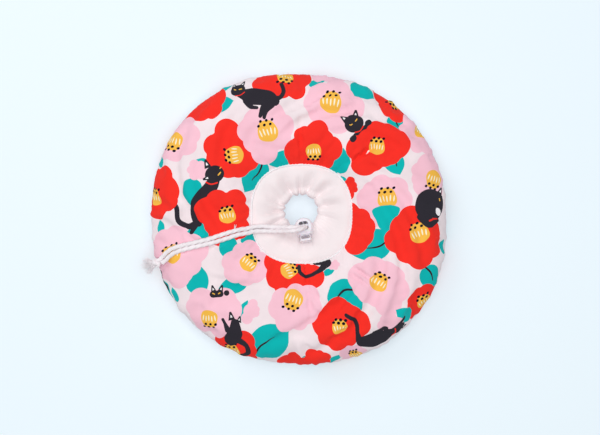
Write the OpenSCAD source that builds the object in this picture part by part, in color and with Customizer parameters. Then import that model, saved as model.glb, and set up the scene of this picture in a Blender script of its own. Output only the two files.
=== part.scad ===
// Soft elizabethan collar: a stuffed ring that rests flat, with a gathered neck
// sleeve, a drawstring and a spring cord lock. Origin at the bottom centre, +Z up.

/* [Ring] */
// Width of the ring across
ring_w = 296; // [265:1:325]
// Length of the ring from the front edge to the back edge
ring_l = 293; // [265:1:325]
// Height of the stuffed ring
ring_h = 51; // [46:1:60]
// How square the outline is, 2 is an ellipse
ring_square = 2.18; // [2:0.01:2.4]
// How far the ring is pulled out along one diagonal
ring_skew = 1.5; // [0:0.1:3]
// Thickness of one cover
cover_t = 0.8; // [0.6:0.1:1.2]

/* [Neck sleeve] */
// Width of the sleeve's outer edge
sleeve_w = 99; // [90:1:104]
// Length of the sleeve's outer edge
sleeve_l = 97; // [90:1:104]
// Width of the neck hole with the drawstring drawn
hole_d = 33; // [32:1:36]
// Number of gathers round the hole
gathers = 18; // [12:1:22]
// Thickness of the gathered sleeve cloth
sleeve_t = 1.2; // [0.8:0.1:1.4]

/* [Drawstring] */
// Diameter of the cord
cord_d = 4; // [3:0.1:4]
// Width of the knot across
knot_d = 10; // [8:0.5:12]
// Length of the frayed ends beyond the knot
tassel_l = 17; // [12:1:18]

/* [Cord lock] */
// Diameter of the lock's dome
lock_d = 19; // [18.5:0.1:19.5]
// Thickness of the lock between its two flats
lock_t = 12; // [11.6:0.1:12.4]
// Distance from the cord hole to the end of the plunger's cap
lock_reach = 15; // [15:0.5:18]
// How far the plunger goes in
press = 3.5; // [3:0.1:3.5]

/* [Hidden] */

print_red = "#f23a2c";
sleeve_white = "#f3ebec";
cord_white = "#f4f0ee";
plastic_white = "#f4f1f6";

mid_z = ring_h / 2;
ring_steps = 64;
sleeve_steps = gathers * 4;
cover_gap = 0.25;
fill_gap = 0.5;
gather_h = 0.8;

// The sleeve's outer edge and the hole sit a little off the ring's centre.
border_at = [2.5, 5];
border_square = 2.5;
hole_at = [2, 8];

// Height above the ring's middle: [share of the way, share of the half height].
// The way runs from the sleeve's edge to the rim. The flat at the top rests on the floor.
cover_profile = [[0, 0.52], [0.05, 0.65], [0.12, 0.8], [0.22, 0.92], [0.34, 0.985],
    [0.44, 1], [0.54, 1], [0.66, 0.965], [0.77, 0.87], [0.86, 0.71], [0.93, 0.5],
    [0.975, 0.28], [1, 0]];
// Height in millimetres above the middle, from the hole's edge to the sleeve's edge.
sleeve_profile = [[0, 0.2], [0.02, 2.2], [0.07, 4.1], [0.13, 4.8], [0.21, 5], [0.3, 6.6],
    [0.42, 9.4], [0.55, 12], [0.7, 14], [0.85, 14.8], [0.95, 14], [0.99, 12.6]];

// The channel's circle and the two points where the cord turns up out of it.
channel_r = 20.5;
loop_start = -50;
loop_end = 245;

// The slit where both ends of the cord leave the channel.
slit_at = [5.3, -12.5];
slit_w = 13.4;
slit_l = 6;

// Where the lock's cord hole is, which way its dome points and how far it leans.
lock_at = [4.8, -8.1, 37.6];
lock_turn = 9;
lock_lean = 18;

// Routes of the two tails, from the channel up through the lock to the knot.
upper_route = [[-6.7, -10.6, 25.5], [-3.2, -12.3, 25.6], [0.2, -13.2, 26.6],
    [2.4, -13.1, 28.9], [3.2, -12.4, 31.8], [3, -10.7, 37.6], [2.7, -8.8, 43.3],
    [1.9, -8.2, 46.6], [-0.6, -7.9, 49.7], [-4.4, -7.9, 51.4], [-8.6, -8, 50.6],
    [-12.6, -8.1, 48.2], [-17.4, -8.1, 44.8], [-23, -8, 42], [-30, -7.5, 41],
    [-37, -7, 42.4], [-44, -7.5, 43.4], [-50, -9.1, 45.2], [-60, -10.7, 49.3],
    [-74, -14.9, 52.6], [-88, -19.5, 53.6], [-102, -22.9, 53.4], [-116, -26.3, 51.7],
    [-125, -29.5, 48.9], [-130.5, -33.5, 46.4], [-133.5, -36.5, 44.5], [-136, -39.1, 43.4]];
lower_route = [[15.2, -7.7, 25.5], [12.4, -10.1, 25.7], [9.8, -11.9, 26.9],
    [8.2, -12.4, 29.2], [7.5, -11.8, 32], [7.1, -10, 37.6], [6.8, -8.1, 43.3],
    [6.4, -7.8, 46.6], [4.6, -8.6, 50.2], [1.4, -9.9, 53.2], [-2.8, -11.1, 54.6],
    [-7.4, -11.7, 53.6], [-12, -12, 50.8], [-17, -12.1, 47], [-23, -12.2, 43.6],
    [-30, -12.1, 41.8], [-37, -11.9, 42.6], [-44, -12.2, 43.6], [-50.5, -13.7, 45.8],
    [-60, -15.5, 49.6], [-74, -20.1, 52.6], [-88, -24.1, 53.6], [-102, -27.3, 53.4],
    [-116, -30.9, 51.4], [-123.5, -34.1, 49.2], [-128.5, -38.1, 46.8],
    [-131.5, -41.1, 45.2], [-134.5, -43.1, 44]];
knot_at = [-139.2, -42.7, 42.6];
tassel_dir = [-0.78, -0.28, -0.56];

cord_r = cord_d / 2;
lock_r = lock_d / 2;

// ---- curves ----

function smooth(p0, p1, p2, p3, t) =
    0.5 * (2 * p1 + (p2 - p0) * t + (2 * p0 - 5 * p1 + 4 * p2 - p3) * t * t
    + (3 * p1 - p0 - 3 * p2 + p3) * t * t * t);

function unit(v) = v / norm(v);

// Points along a smooth curve through the route, so many to each stretch.
function along(route, steps) = let (last = len(route) - 1) concat(
    [for (i = [0 : last - 1], k = [0 : steps - 1])
        smooth(route[max(i - 1, 0)], route[i], route[i + 1],
            route[min(i + 2, last)], k / steps)],
    [route[last]]);

function heading(points, i) =
    unit(points[min(i + 1, len(points) - 1)] - points[max(i - 1, 0)]);

// One sideways direction at each point, carried along without twisting.
function sideways(points) =
    [for (i = 0, s = unit(cross(heading(points, 0), [0.3, 0.9, 0.3])); i < len(points);
        i = i + 1,
        s = i < len(points)
            ? unit(s - (s * heading(points, i)) * heading(points, i)) : s) s];

// How far from the centre an oval outline runs at an angle.
function oval(half_w, half_l, square, a) =
    1 / pow(pow(abs(cos(a)) / half_w, square) + pow(abs(sin(a)) / half_l, square),
        1 / square);

function rim_point(a) = (oval(ring_w / 2, ring_l / 2, ring_square, a)
    + ring_skew * cos(2 * (a - 145))) * [cos(a), sin(a)];

function border_point(a) = border_at
    + oval(sleeve_w / 2, sleeve_l / 2, border_square, a) * [cos(a), sin(a)];

function hole_point(a) = hole_at
    + (hole_d / 2 + 0.5 * cos(gathers * a)) * [cos(a), sin(a)];

// The gathers grow from nothing at the hem, then fade out toward the sleeve's edge.
function gather(a, way) = gather_h * cos(gathers * a) * max(0, 1 - way / 0.75)
    * min(1, max(0, way - 0.035) / 0.05);

// The lining's height under the sleeve's cloth.
lining_profile = concat([[0.035, 0.2], [0.055, 2]],
    [for (k = [2 : len(sleeve_profile) - 2]) sleeve_profile[k] - [0, sleeve_t]],
    [[0.975, 12]]);

function flip(p, side) = [p[0], p[1], mid_z + side * p[2]];

// ---- solids swept round a ring or along a cord ----

// Joins equal rings of points. A closed row of rings is a torus, an open one has end caps.
module skin(rings, closed) {
    n = len(rings);
    m = len(rings[0]);
    last = closed ? n - 1 : n - 2;
    sides = [for (i = [0 : last], j = [0 : m - 1])
        let (a = i * m + j, b = i * m + (j + 1) % m,
            c = ((i + 1) % n) * m + (j + 1) % m, d = ((i + 1) % n) * m + j)
        each [[a, b, c], [a, c, d]]];
    ends = closed ? [] : [[for (j = [m - 1 : -1 : 0]) j],
        [for (j = [0 : m - 1]) (n - 1) * m + j]];
    polyhedron(points = [for (r = rings) each r], faces = concat(sides, ends));
}

module tube(points, radius, sides) {
    across = sideways(points);
    skin([for (i = [0 : len(points) - 1])
        let (h = heading(points, i), s = across[i], up = cross(h, s))
        [for (k = [0 : sides - 1])
            let (a = -360 * k / sides)
            points[i] + radius * (cos(a) * s + sin(a) * up)]], false);
}

// A thin ring that follows an outline at a height, flat or round in section.
module band(outline, radius_w, radius_h, sides) {
    n = len(outline);
    skin([for (i = [0 : n - 1])
        let (t = unit(outline[(i + 1) % n] - outline[(i + n - 1) % n]),
            out = unit([t[1], -t[0], 0]))
        [for (k = [0 : sides - 1])
            let (a = 360 * k / sides)
            outline[i] + radius_w * cos(a) * out + [0, 0, radius_h * sin(a)]]], true);
}

// ---- covers and filling ----

// A point on the ring's skin, pulled in toward the tube's middle by an inset.
function cover_point(a, way, share, inset) =
    let (from = border_point(a), to = rim_point(a), half = norm(to - from) / 2,
        w = 0.5 + (way - 0.5) * (1 - inset / half),
        h = share * (mid_z - inset))
    concat(from + (to - from) * w, max(h, cover_gap));

module cover(side) {
    last = len(cover_profile) - 1;
    rings = [for (i = [0 : ring_steps - 1])
        let (a = -side * 360 * i / ring_steps)
        concat(
            [for (p = cover_profile) flip(cover_point(a, p[0], p[1], 0), side)],
            [for (k = [last : -1 : 0])
                flip(cover_point(a, cover_profile[k][0], cover_profile[k][1], cover_t),
                    side)])];
    skin(rings, true);
}

module front_cover() {
    color(print_red) cover(1);
}

module back_cover() {
    color(print_red) cover(-1);
}

// The filling's top: under the sleeve first, then under the cover.
function fill_top(a) = concat(
    [for (p = [[0.34, 3.8], [0.5, 7.4], [0.7, 11], [0.88, 11.6]])
        concat(hole_point(a) + (border_point(a) - hole_point(a)) * p[0], p[1])],
    [cover_point(a, 0, 0.42, cover_t + fill_gap)],
    [for (k = [1 : len(cover_profile) - 3])
        cover_point(a, cover_profile[k][0], cover_profile[k][1], cover_t + fill_gap)]);

module stuffing_ring() {
    color(sleeve_white)
        skin([for (i = [0 : ring_steps - 1])
            let (a = -360 * i / ring_steps, top = fill_top(a), n = len(top))
            concat([for (p = top) flip(p, 1)],
                [for (k = [n - 1 : -1 : 0]) flip(top[k], -1)])], true);
}

// The allowance lies inside the rim, where the two covers meet.
module rim_seam() {
    inside = 4.2;
    color(sleeve_white)
        band([for (i = [0 : ring_steps - 1])
            let (a = 360 * i / ring_steps, p = rim_point(a))
            concat(p - inside * unit(p), mid_z)], 1.6, 0.6, 6);
}

// Ladder stitches across the seam, centred on the far edge of the rim.
module closing_stitches() {
    count = 9;
    start = 82;
    pitch = 2;
    length = 4;
    color(sleeve_white)
        for (i = [0 : count - 1])
            rotate([0, 0, start + i * pitch])
                translate([norm(rim_point(start + i * pitch)) + 0.45, 0, mid_z - length / 2])
                    cylinder(r = 0.3, h = length, $fn = 16);
}

// ---- neck sleeve ----

function sleeve_point(a, p) =
    concat(hole_point(a) + (border_point(a) - hole_point(a)) * p[0],
        p[1] + gather(a, p[0]));

module sleeve(side) {
    last = len(lining_profile) - 1;
    skin([for (i = [0 : sleeve_steps - 1])
        let (a = -side * 360 * i / sleeve_steps)
        concat([for (p = sleeve_profile) flip(sleeve_point(a, p), side)],
            [for (k = [last : -1 : 0]) flip(sleeve_point(a, lining_profile[k]), side)])],
        true);
}

module neck_sleeve_front() {
    color(sleeve_white)
        difference() {
            sleeve(1);
            translate([slit_at[0], slit_at[1], mid_z + 0.1])
                linear_extrude(8)
                    rounded(slit_w, slit_l, slit_l / 2 - 0.1);
        }
}

module neck_sleeve_back() {
    color(sleeve_white) sleeve(-1);
}

// The white overlocked edge that stands along the join of print and sleeve.
module sleeve_seam(side) {
    above = cover_profile[0][1] * mid_z + 1.2;
    color("white")
        band([for (i = [0 : sleeve_steps - 1])
            let (a = 360 * i / sleeve_steps)
            concat(border_point(a), mid_z + side * above)], 0.9, 0.8, 6);
}

module sleeve_seam_front() {
    sleeve_seam(1);
}

module sleeve_seam_back() {
    sleeve_seam(-1);
}

// The round of thread that holds both sleeves together outside the channel.
module casing_stitches() {
    casing_r = 24.6;
    color("white")
        translate([hole_at[0], hole_at[1], mid_z])
            rotate_extrude($fn = 64)
                translate([casing_r, 0]) circle(r = 0.6, $fn = 16);
}

// A stitched rim round the slit where the two ends of the cord come out.
module buttonhole() {
    color("white")
        translate([slit_at[0], slit_at[1], mid_z + 5.3])
            linear_extrude(0.4)
                difference() {
                    rounded(slit_w + 1.6, slit_l + 1.2, slit_l / 2 + 0.5);
                    rounded(slit_w, slit_l, slit_l / 2 - 0.1);
                }
}

// ---- drawstring ----

module drawstring_loop() {
    steps = 40;
    color(cord_white)
        tube([for (i = [0 : steps])
            let (a = loop_start + (loop_end - loop_start) * i / steps)
            concat(hole_at + channel_r * [cos(a), sin(a)], mid_z)], cord_r, 10);
}

module drawstring_tail_upper() {
    color(cord_white) tube(along(upper_route, 2), cord_r, 10);
}

module drawstring_tail_lower() {
    color(cord_white) tube(along(lower_route, 2), cord_r, 10);
}

module end_knot() {
    color(cord_white)
        translate(knot_at)
            sphere(d = knot_d, $fn = 32);
}

// Frayed yarns that spread out of the knot.
module tassel() {
    yarns = 9;
    spread = 5;
    color(cord_white)
        for (i = [0 : yarns - 1])
            let (a = 360 * i / yarns, reach = i == 0 ? 0 : 1,
                side = unit(cross(tassel_dir, [0, 0, 1])), up = cross(side, tassel_dir),
                out = reach * (cos(a) * side + sin(a) * up),
                start = knot_at + (knot_d / 2 + 0.3) * unit(tassel_dir) + 2.1 * out)
            tube([start, start + tassel_l / 2 * tassel_dir + 0.4 * spread * out,
                start + tassel_l * tassel_dir + spread * out], 0.6, 6);
}

// ---- cord lock ----

module rounded(w, l, r) {
    square([w - 2 * r, l], center = true);
    square([w, l - 2 * r], center = true);
    for (x = [-1, 1], y = [-1, 1])
        translate([x * (w / 2 - r), y * (l / 2 - r)])
            circle(r = r, $fn = 32);
}

// Puts a lock piece in place: its +Y runs to the dome and its cord hole along +Z.
module placed_lock() {
    translate(lock_at)
        rotate([0, 0, lock_turn])
            rotate([-lock_lean, 0, 0])
                children();
}

mouth_y = -9;
lip_y = -7.6;
cavity_r = 6.3;
cavity_t = 8;
cavity_end = 5.6;
head_y = cavity_end - press - 0.2;
spring_r = 3.3;
spring_end = 7.6;
cord_hole_w = 9;
cord_hole_l = 8.8;
cord_hole_r = 2.4;

// A round rod along Y with two flats.
module flat_rod(r, t, from, to) {
    intersection() {
        translate([0, from, 0])
            rotate([-90, 0, 0])
                cylinder(r = r, h = to - from, $fn = 64);
        translate([-r - 1, from - 1, -t / 2])
            cube([2 * r + 2, to - from + 2, t]);
    }
}

module barrel_shape() {
    belly_r = 20;
    rotate([-90, 0, 0])
        rotate_extrude($fn = 96)
            union() {
                intersection() {
                    circle(r = lock_r, $fn = 96);
                    square([lock_r, lock_r]);
                }
                intersection() {
                    translate([lock_r - belly_r, 0]) circle(r = belly_r, $fn = 96);
                    translate([0, mouth_y]) square([lock_r, -mouth_y]);
                }
            }
}

module lock_barrel() {
    lip_r = 5.8;
    color(plastic_white)
        placed_lock()
            difference() {
                intersection() {
                    barrel_shape();
                    translate([-lock_r, mouth_y, -lock_t / 2])
                        cube([lock_d, lock_r - mouth_y, lock_t]);
                }
                flat_rod(cavity_r, cavity_t, lip_y, cavity_end);
                flat_rod(lip_r, cavity_t, mouth_y - 1, lip_y + 1);
                translate([0, cavity_end - 1, 0])
                    rotate([-90, 0, 0])
                        cylinder(r = spring_r, h = spring_end - cavity_end + 1, $fn = 48);
                linear_extrude(lock_t + 2, center = true)
                    rounded(cord_hole_w, cord_hole_l, cord_hole_r);
            }
}

module lock_plunger() {
    head_r = 6.1;
    stem_r = 5.6;
    cap_r = 6.2;
    plunger_t = 7.6;
    cap_t = 8.6;
    cap_y = -12.9;
    grip_y = -4;
    window_w = 8.4;
    window_l = 3.4;
    window_y = -11.1;
    color(plastic_white)
        placed_lock()
            difference() {
                union() {
                    flat_rod(head_r, plunger_t, lip_y + 0.2, head_y);
                    flat_rod(stem_r, plunger_t, cap_y - 1, lip_y + 1);
                    flat_rod(cap_r, cap_t, -lock_reach, cap_y);
                }
                translate([0, grip_y, 0])
                    linear_extrude(lock_t, center = true)
                        rounded(cord_hole_w, cord_hole_l, cord_hole_r);
                translate([0, window_y, 0])
                    linear_extrude(lock_t, center = true)
                        rounded(window_w, window_l, window_l / 2 - 0.1);
            }
}

module lock_spring() {
    turns = 3.5;
    wire = 0.225;
    coil_r = 2.6;
    bottom = head_y + 0.5;
    top = spring_end - 0.5;
    steps = 42;
    color("silver")
        placed_lock()
            tube([for (i = [0 : steps])
                let (a = 360 * turns * i / steps)
                [coil_r * cos(a), bottom + (top - bottom) * i / steps,
                    coil_r * sin(a)]], wire, 6);
}

front_cover();
back_cover();
stuffing_ring();
rim_seam();
closing_stitches();
neck_sleeve_front();
neck_sleeve_back();
sleeve_seam_front();
sleeve_seam_back();
casing_stitches();
buttonhole();
drawstring_loop();
drawstring_tail_upper();
drawstring_tail_lower();
end_knot();
tassel();
lock_barrel();
lock_plunger();
lock_spring();
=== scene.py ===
"""Soft elizabethan collar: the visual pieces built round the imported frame."""

import math

import bpy
import numpy as np
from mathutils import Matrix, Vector
from mathutils.geometry import delaunay_2d_cdt


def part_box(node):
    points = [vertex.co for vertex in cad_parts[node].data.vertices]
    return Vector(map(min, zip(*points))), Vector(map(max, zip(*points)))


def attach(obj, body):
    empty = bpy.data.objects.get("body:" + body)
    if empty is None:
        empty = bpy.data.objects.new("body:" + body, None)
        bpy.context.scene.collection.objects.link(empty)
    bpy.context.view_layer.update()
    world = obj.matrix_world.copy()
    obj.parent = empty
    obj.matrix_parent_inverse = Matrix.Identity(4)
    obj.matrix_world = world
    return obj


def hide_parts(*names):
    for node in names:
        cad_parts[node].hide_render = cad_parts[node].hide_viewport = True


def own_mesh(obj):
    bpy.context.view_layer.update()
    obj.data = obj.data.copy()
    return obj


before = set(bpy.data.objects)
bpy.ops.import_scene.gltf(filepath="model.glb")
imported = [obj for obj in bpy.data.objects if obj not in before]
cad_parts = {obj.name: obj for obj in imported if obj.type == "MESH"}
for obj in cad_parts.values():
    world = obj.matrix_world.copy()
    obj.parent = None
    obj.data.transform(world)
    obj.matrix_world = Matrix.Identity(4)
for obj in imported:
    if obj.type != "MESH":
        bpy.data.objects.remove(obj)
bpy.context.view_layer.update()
scene = bpy.context.scene
MM = 0.001


# ---- where things are, in millimetres, read off the frame ----

def cad(node):
    lo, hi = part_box(node)
    return np.array(lo) / MM, np.array(hi) / MM


cover_lo, cover_hi = cad("front_cover")
edge_lo, edge_hi = cad("sleeve_seam_front")
casing_lo, casing_hi = cad("casing_stitches")
rim_lo, rim_hi = cad("rim_seam")
MID = (rim_lo[2] + rim_hi[2]) / 2
HALF = cover_hi[2] - MID
RING = (cover_hi - cover_lo)[:2] / 2
BORDER_AT = (edge_lo + edge_hi)[:2] / 2
BORDER = (edge_hi - edge_lo)[:2] / 2 - 0.9
HOLE_AT = (casing_lo + casing_hi)[:2] / 2
HOLE_R = 16.5
SIDES = ((1, "front"), (-1, "back"))
TURN = 2 * math.pi
# 2 is a plain oval, and more is squarer.
RIM_SQUARE, BORDER_SQUARE = 2.18, 2.5


def oval(half, square, a):
    """How far an oval of these half widths reaches at the turns a."""
    return (np.abs(np.cos(a) / half[0]) ** square
            + np.abs(np.sin(a) / half[1]) ** square) ** (-1 / square)


def ray(a):
    """Steps of 1 mm outward at the turns a."""
    return np.stack([np.cos(a), np.sin(a)], -1)


def rim(a):
    """Points of the ring's outer edge seen from above, an oval that leans a little."""
    reach = (oval((RING[0] - 0.5, RING[1] + 0.5), RIM_SQUARE, a)
             + 1.5 * np.cos(2 * a - math.radians(290)))
    return reach[..., None] * ray(a)


def border(a):
    """Points of the edge between printed cover and sleeve, seen from above."""
    return BORDER_AT + oval(BORDER, BORDER_SQUARE, a)[..., None] * ray(a)


def smooth_curve(points, steps, closed=False):
    """A Catmull-Rom curve through the points, so many steps to each stretch."""
    p = np.array(points, float)
    n = len(p)
    take = (lambda i: p[i % n]) if closed else (lambda i: p[min(max(i, 0), n - 1)])
    t = (np.arange(steps) / steps)[:, None]
    runs = []
    for i in range(n if closed else n - 1):
        a, b, c, d = take(i - 1), take(i), take(i + 1), take(i + 2)
        runs.append(0.5 * (2 * b + (c - a) * t + (2 * a - 5 * b + 4 * c - d) * t ** 2
                           + (3 * b - a - 3 * c + d) * t ** 3))
    return np.concatenate(runs + ([] if closed else [p[-1:]]))


def step(x, start, end):
    """A soft rise from 0 to 1."""
    t = np.clip((x - start) / (end - start), 0, 1)
    return t * t * (3 - 2 * t)


def unit(v):
    """The same directions, each 1 long."""
    return v / np.linalg.norm(v, axis=-1)[..., None]


def run_along(path):
    """How far along the path each of its points is."""
    return np.concatenate([[0], np.cumsum(np.linalg.norm(np.diff(path, axis=0), axis=1))])


def waves(a, low, high, count, seed):
    """An uneven ripple round the ring, about -1 to 1."""
    rng = np.random.default_rng(seed)
    turns, start = rng.integers(low, high, count), rng.uniform(0, TURN, count)
    return sum(np.cos(n * a + s) for n, s in zip(turns, start)) / math.sqrt(count)


# ---- materials ----

def linear(code):
    """A colour code as linear red, green, blue and alpha."""
    c = np.array([int(code[i:i + 2], 16) for i in (1, 3, 5)]) / 255
    return [*np.where(c < 0.04045, c / 12.92, ((c + 0.055) / 1.055) ** 2.4), 1]


def node(tree, kind, **values):
    """A shader node with its inputs or its own settings filled in."""
    n = tree.nodes.new(kind)
    for key, value in values.items():
        if key in n.inputs:
            n.inputs[key].default_value = value
        else:
            setattr(n, key, value)
    return n


def new_material(name, roughness, **values):
    m = bpy.data.materials.new(name)
    m.use_nodes = True
    shader = m.node_tree.nodes["Principled BSDF"]
    shader.inputs["Roughness"].default_value = roughness
    for key, value in values.items():
        shader.inputs[key.replace("_", " ")].default_value = value
    return m, m.node_tree, shader


def tint(tree, shader, code, scale, spread):
    """The colour, a little lighter and darker in cloudy patches. Gives the coordinates."""
    place = node(tree, "ShaderNodeTexCoord").outputs
    patches = node(tree, "ShaderNodeTexNoise", Scale=scale, Detail=3.0)
    ramp = node(tree, "ShaderNodeValToRGB")
    base = linear(code)
    for stop, share in zip(ramp.color_ramp.elements, (1 - spread, 1 + spread)):
        stop.color = [min(c * share, 1) for c in base[:3]] + [1]
    ramp.color_ramp.elements[0].position = 0.3
    ramp.color_ramp.elements[1].position = 0.7
    tree.links.new(place["Object"], patches.inputs["Vector"])
    tree.links.new(patches.outputs["Fac"], ramp.inputs["Fac"])
    tree.links.new(ramp.outputs["Color"], shader.inputs["Base Color"])
    return place


def emboss(tree, shader, height, depth, distance):
    bump = node(tree, "ShaderNodeBump", Strength=depth, Distance=distance)
    tree.links.new(height, bump.inputs["Height"])
    tree.links.new(bump.outputs["Normal"], shader.inputs["Normal"])


def roughen(tree, shader, vector, depth, distance, **noise):
    """A fine grain as a bump."""
    grain = node(tree, "ShaderNodeTexNoise", **noise)
    tree.links.new(vector, grain.inputs["Vector"])
    emboss(tree, shader, grain.outputs["Fac"], depth, distance)


def cotton(name, code, uv=True, spread=0.04, pitch=0.55):
    """Plain-woven cotton: threads crossed every pitch mm, cloudy colour, soft nap."""
    m, tree, shader = new_material(name, 0.85, Sheen_Weight=0.03, Sheen_Roughness=0.6,
                                   Specular_IOR_Level=0.12)
    vector = tint(tree, shader, code, 38.0, spread)["UV" if uv else "Object"]
    # The UV map is in millimetres, and object space in metres. A wave texture of scale
    # 0.314 repeats once in every unit.
    repeats = (1.0 if uv else 1000.0) * 0.314 / pitch
    threads = []
    for direction in ("X", "Y"):
        wave = node(tree, "ShaderNodeTexWave", Scale=repeats, Distortion=0.6,
                    Detail=1.0, bands_direction=direction)
        wave.inputs["Detail Scale"].default_value = 2.0
        tree.links.new(vector, wave.inputs["Vector"])
        threads.append(wave.outputs["Fac"])
    weave = node(tree, "ShaderNodeMath", operation="ADD")
    for i, thread in enumerate(threads):
        tree.links.new(thread, weave.inputs[i])
    emboss(tree, shader, weave.outputs[0], 0.12, 0.0004)
    return m


def plastic(name, code, roughness):
    """Glossy moulded plastic that lets a little light in."""
    m, tree, shader = new_material(name, roughness, Coat_Weight=0.25, Coat_Roughness=0.12,
                                   Subsurface_Weight=0.08, Subsurface_Scale=0.002)
    place = tint(tree, shader, code, 240.0, 0.02)
    roughen(tree, shader, place["Object"], 0.06, 0.0002, Scale=2600.0, Detail=2.0)
    return m


def steel(name):
    m, tree, shader = new_material(name, 0.3, Metallic=1.0)
    tint(tree, shader, "#C9CBD0", 900.0, 0.08)
    return m


def fibre(name, code, scale=900.0):
    """Loose or spun fibre: fine streaky grain and a soft edge."""
    m, tree, shader = new_material(name, 0.9, Sheen_Weight=0.4, Sheen_Roughness=0.5,
                                   Specular_IOR_Level=0.2)
    place = tint(tree, shader, code, 160.0, 0.04)
    roughen(tree, shader, place["Object"], 0.25, 0.0003, Scale=scale, Detail=4.0, Distortion=0.8)
    return m


GROUND, WHITE, RED, PINK, TEAL, YELLOW, CREAM, BLACK, INK, RIB = range(10)
INKS = ["#F5E5E8", "#FCF6F7", "#FC3025", "#FDC6D5", "#02B8B5", "#FABE4B", "#FDF3D6",
        "#2D2A32", "#0A0823", "#32191F"]
PRINT = [cotton(f"print_{i}", code) for i, code in enumerate(INKS)]
SLEEVE = cotton("sleeve_cotton", "#F8ECED", uv=False, spread=0.03, pitch=0.5)
THREAD = fibre("thread", "#F8F4F6", 1500.0)
ROPE = fibre("rope_cotton", "#F6EEF1")
FILLING = fibre("filling_fibre", "#F4F4F4", 300.0)
PLASTIC = plastic("lock_plastic", "#F1ECF3", 0.28)
STEEL = steel("spring_steel")


# ---- meshes ----

def make(name, points, faces, materials, slot, replaces=(), index=None, uv=None):
    """A piece of the collar from points in mm, which stands for its CAD nodes."""
    mesh = bpy.data.meshes.new(name)
    faces = faces.tolist() if isinstance(faces, np.ndarray) else faces
    mesh.from_pydata((np.asarray(points) * MM).tolist(), [], faces)
    for m in materials:
        mesh.materials.append(m)
    if index is not None:
        mesh.polygons.foreach_set("material_index", np.asarray(index, np.int32))
    if uv is not None:
        corners = np.zeros(len(mesh.loops), np.int32)
        mesh.loops.foreach_get("vertex_index", corners)
        layer = mesh.uv_layers.new(name="cloth_mm")
        layer.data.foreach_set("uv", np.asarray(uv)[corners].astype(np.float32).ravel())
    mesh.shade_smooth()
    mesh.validate()
    obj = bpy.data.objects.new(name, mesh)
    scene.collection.objects.link(obj)
    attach(obj, "collar")
    if replaces:
        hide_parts(*replaces)
    return obj


def grid_faces(rows, columns, wrap_rows=True, wrap_columns=False, flip=False):
    """Quads between points laid out as rows by columns."""
    i = np.arange(rows if wrap_rows else rows - 1)[:, None]
    j = np.arange(columns if wrap_columns else columns - 1)[None, :]
    up, right = (i + 1) % rows, (j + 1) % columns
    quads = np.stack([i * columns + j, up * columns + j, up * columns + right,
                      i * columns + right], -1).reshape(-1, 4)
    return quads[:, ::-1] if flip else quads


def joined(parts):
    """One list of points and faces out of several."""
    points, faces, count = [], [], 0
    for p, f in parts:
        points.append(np.asarray(p))
        faces += [[k + count for k in face] for face in f]
        count += len(p)
    return np.concatenate(points), faces


def frames_along(path):
    """A heading and two sideways directions at each point, without twist."""
    ahead = unit(np.gradient(path, axis=0))
    across = np.cross(ahead[0], (0.3, 0.9, 0.3))
    sides = []
    for h in ahead:
        across = unit(across - across @ h * h)
        sides.append(across)
    sides = np.array(sides)
    return ahead, sides, np.cross(ahead, sides)


def tube(path, radius, sides=8, lobes=0, lay=0.0, twist=0.0, closed=False):
    """A tube along a path. Lobes that turn along it make a twisted rope."""
    path = np.asarray(path, float)
    ahead, s, u = frames_along(path)
    if closed:
        s = unit(np.stack([ahead[:, 1], -ahead[:, 0], 0 * ahead[:, 0]], -1))
        u = np.cross(ahead, s)
    a = TURN * np.arange(sides) / sides
    turned = twist * run_along(path)[:, None]
    r = np.broadcast_to(np.asarray(radius, float).reshape(-1, 1), (len(path), sides))
    r = r * (1 + lay * (np.abs(np.cos(lobes * (a + turned) / 2)) - 0.55))
    points = (path[:, None] + (r * np.cos(a))[..., None] * s[:, None]
              + (r * np.sin(a))[..., None] * u[:, None]).reshape(-1, 3)
    faces = grid_faces(len(path), sides, closed, True).tolist()
    if not closed:
        faces += [list(range(sides))[::-1],
                  [(len(path) - 1) * sides + k for k in range(sides)]]
    return points, faces


def evened(path, gap):
    """The same path with its points so far apart."""
    run = run_along(path)
    at = np.linspace(0, run[-1], max(int(run[-1] / gap), 3))
    return np.stack([np.interp(at, run, path[:, k]) for k in range(3)], -1)


# ---- camera, floor and light ----

CAMERA_UP = 1100

camera = bpy.data.objects.new("camera", bpy.data.cameras.new("camera"))
camera.data.lens = 66
camera.data.sensor_width = 36
camera.location = (0.001, 0.0015, (MID + CAMERA_UP) * MM)
scene.collection.objects.link(camera)
scene.camera = camera
scene.view_settings.view_transform = "Standard"
scene.view_settings.look = "None"

floor_material, _, floor_shader = new_material("floor_card", 0.9)
floor_shader.inputs["Base Color"].default_value = linear("#C3CCD1")
floor_shader.inputs["Emission Color"].default_value = linear("#E9F6FD")
floor_shader.inputs["Emission Strength"].default_value = 0.4
bpy.ops.mesh.primitive_plane_add(size=12)
floor = bpy.context.object
floor.name = "floor"
floor.data.materials.append(floor_material)

world = bpy.data.worlds.new("soft_white")
world.use_nodes = True
world.node_tree.nodes["Background"].inputs["Color"].default_value = (0.93, 0.97, 1, 1)
world.node_tree.nodes["Background"].inputs["Strength"].default_value = 0.33
scene.world = world


def lamp(name, at, size, energy):
    """A square soft light aimed at the collar."""
    light = bpy.data.objects.new(name, bpy.data.lights.new(name, "AREA"))
    light.data.size = size
    light.data.energy = energy
    light.location = at
    light.rotation_euler = (Vector((0, 0, 0.02)) - Vector(at)).to_track_quat("-Z", "Y").to_euler()
    scene.collection.objects.link(light)


lamp("key", (-0.7, 0.8, 1.2), 0.8, 5)
lamp("overhead", (0.03, 0.03, 1.9), 1.2, 21)


# ---- drawstring tails, knot and tassel ----

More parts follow.
